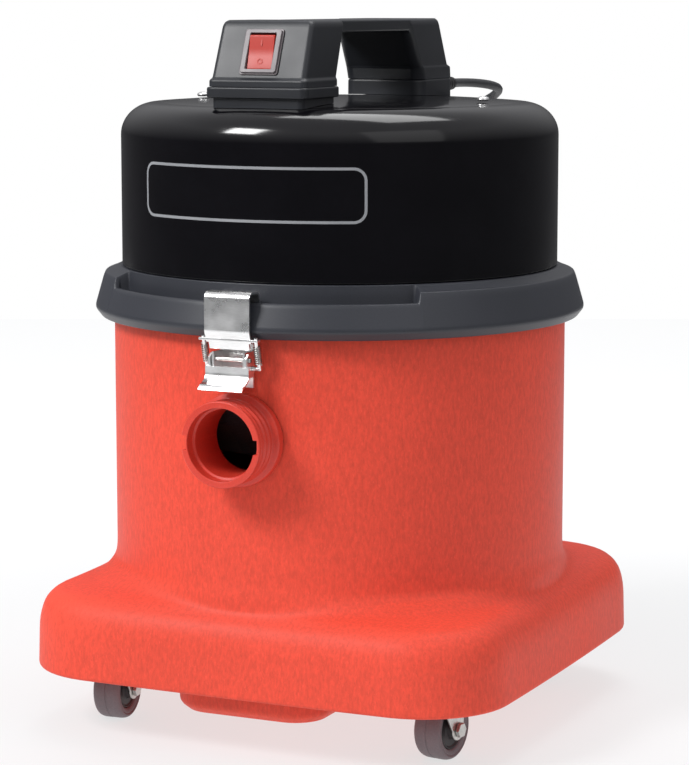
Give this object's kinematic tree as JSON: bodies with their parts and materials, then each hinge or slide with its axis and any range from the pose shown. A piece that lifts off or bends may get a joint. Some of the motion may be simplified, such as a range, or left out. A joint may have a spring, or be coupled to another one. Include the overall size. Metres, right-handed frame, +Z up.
{
  "type": "shop vacuum",
  "caption": "Shop vacuum: moulded drum on castors, threaded hose inlet, latched motor head with bridge handle, rocker switch and mains cord.",
  "frame": {"origin": "on the floor under the drum's axis", "axes": "+Z up, -Y towards the front, where the hose inlet and the switch are"},
  "size_m": [0.364, 0.5659, 0.5065],
  "materials": {
    "drum_red": "moulded, semi-matte",
    "inlet_red": "moulded, satin",
    "charcoal": "moulded, satin",
    "satin_black": "moulded, satin",
    "gloss_black": "gloss enamel",
    "plated_steel": "bright zinc plate",
    "steel": "zinc plate",
    "tyre_grey": "non-marking",
    "hub_dark": "moulded",
    "rubber": "matte",
    "rocker_red": "satin",
    "bezel_grey": "satin",
    "filter_cloth": "woven",
    "cord_grey": "satin",
    "copper": "enamelled copper"
  },
  "bodies": {
    "tub": {"drum": "drum_red", "inlet_collar": "inlet_red", "inlet_gasket": "rubber", "inlet_nut": "charcoal", "filter_ring": "charcoal", "filter_cloth": "filter_cloth", "castor_plate_fl": "steel", "castor_plate_fr": "steel", "castor_plate_rl": "steel", "castor_plate_rr": "steel", "latch_bracket_front": "plated_steel", "latch_bracket_rear": "plated_steel", "latch_pin_front": "steel", "latch_pin_rear": "steel", "cord_coil": "cord_grey", "plug": "cord_grey"},
    "head": {"head_base": "charcoal", "drum_seal": "rubber", "motor_cover": "gloss_black", "cover_screw_left": "plated_steel", "cover_screw_right": "plated_steel", "handle": "satin_black", "handle_base_front": "satin_black", "handle_base_rear": "satin_black", "switch_bezel": "bezel_grey", "switch_body": "charcoal", "motor_gasket": "rubber", "fan_casing": "steel", "motor_casing": "charcoal", "bearing_lower": "steel", "bearing_upper": "steel", "strain_relief": "rubber", "cord_tube": "cord_grey"},
    "rotor": {"impeller": "steel", "armature": "copper"},
    "rocker": {"switch_rocker": "rocker_red"},
    "front_lever": {"latch_lever_front": "plated_steel"},
    "front_hook": {"latch_hook_front": "plated_steel", "latch_spring_front_left": "steel", "latch_spring_front_right": "steel"},
    "rear_lever": {"latch_lever_rear": "plated_steel"},
    "rear_hook": {"latch_hook_rear": "plated_steel", "latch_spring_rear_left": "steel", "latch_spring_rear_right": "steel"},
    "castor_fl": {"castor_fork_fl": "steel", "castor_axle_fl": "steel"},
    "wheel_fl": {"castor_hub_fl": "hub_dark", "castor_tyre_fl": "tyre_grey"},
    "castor_fr": {"castor_fork_fr": "steel", "castor_axle_fr": "steel"},
    "wheel_fr": {"castor_hub_fr": "hub_dark", "castor_tyre_fr": "tyre_grey"},
    "castor_rl": {"castor_fork_rl": "steel", "castor_axle_rl": "steel"},
    "wheel_rl": {"castor_hub_rl": "hub_dark", "castor_tyre_rl": "tyre_grey"},
    "castor_rr": {"castor_fork_rr": "steel", "castor_axle_rr": "steel"},
    "wheel_rr": {"castor_hub_rr": "hub_dark", "castor_tyre_rr": "tyre_grey"}
  },
  "joints": [
    {"name": "head_lift", "type": "slide", "parent": "tub", "child": "head", "axis": [0, 0, 1], "range_m": [0, 0.24]},
    {"name": "rotor_spin", "type": "hinge", "parent": "head", "child": "rotor", "pos_m": [0, 0, 0.34], "axis": [0, 0, 1], "continuous": true},
    {"name": "switch_rock", "type": "hinge", "parent": "head", "child": "rocker", "pos_m": [0, -0.12271, 0.4834], "axis": [-1, 0, 0], "range_deg": [0, 16]},
    {"name": "front_lever_pivot", "type": "hinge", "parent": "tub", "child": "front_lever", "pos_m": [0, -0.177, 0.2795], "axis": [-1, 0, 0], "range_deg": [0, 90]},
    {"name": "front_hook_pivot", "type": "hinge", "parent": "front_lever", "child": "front_hook", "pos_m": [0, -0.1725, 0.2735], "axis": [-1, 0, 0], "range_deg": [-75.8, 0]},
    {"name": "rear_lever_pivot", "type": "hinge", "parent": "tub", "child": "rear_lever", "pos_m": [0, 0.177, 0.2795], "axis": [1, 0, 0], "range_deg": [0, 90]},
    {"name": "rear_hook_pivot", "type": "hinge", "parent": "rear_lever", "child": "rear_hook", "pos_m": [0, 0.1725, 0.2735], "axis": [1, 0, 0], "range_deg": [-75.8, 0]},
    {"name": "castor_fl_swivel", "type": "hinge", "parent": "tub", "child": "castor_fl", "pos_m": [-0.127, -0.124, 0.05], "axis": [0, 0, 1], "continuous": true},
    {"name": "wheel_fl_roll", "type": "hinge", "parent": "castor_fl", "child": "wheel_fl", "pos_m": [-0.12813, -0.11105, 0.022], "axis": [-0.9962, -0.0872, 0], "continuous": true},
    {"name": "castor_fr_swivel", "type": "hinge", "parent": "tub", "child": "castor_fr", "pos_m": [0.127, -0.124, 0.05], "axis": [0, 0, 1], "continuous": true},
    {"name": "wheel_fr_roll", "type": "hinge", "parent": "castor_fr", "child": "wheel_fr", "pos_m": [0.12881, -0.11113, 0.022], "axis": [-0.9903, 0.1392, 0], "continuous": true},
    {"name": "castor_rl_swivel", "type": "hinge", "parent": "tub", "child": "castor_rl", "pos_m": [-0.12, 0.12, 0.05], "axis": [0, 0, 1], "continuous": true},
    {"name": "wheel_rl_roll", "type": "hinge", "parent": "castor_rl", "child": "wheel_rl", "pos_m": [-0.13126, 0.1265, 0.022], "axis": [-0.5, -0.866, 0], "continuous": true},
    {"name": "castor_rr_swivel", "type": "hinge", "parent": "tub", "child": "castor_rr", "pos_m": [0.12, 0.12, 0.05], "axis": [0, 0, 1], "continuous": true},
    {"name": "wheel_rr_roll", "type": "hinge", "parent": "castor_rr", "child": "wheel_rr", "pos_m": [0.10705, 0.12113, 0.022], "axis": [-0.0872, -0.9962, 0], "continuous": true}
  ],
  "couplings": [
    {"joint": "front_hook_pivot", "follows": "front_lever_pivot", "ratio": -0.84},
    {"joint": "rear_hook_pivot", "follows": "rear_lever_pivot", "ratio": -0.84}
  ]
}
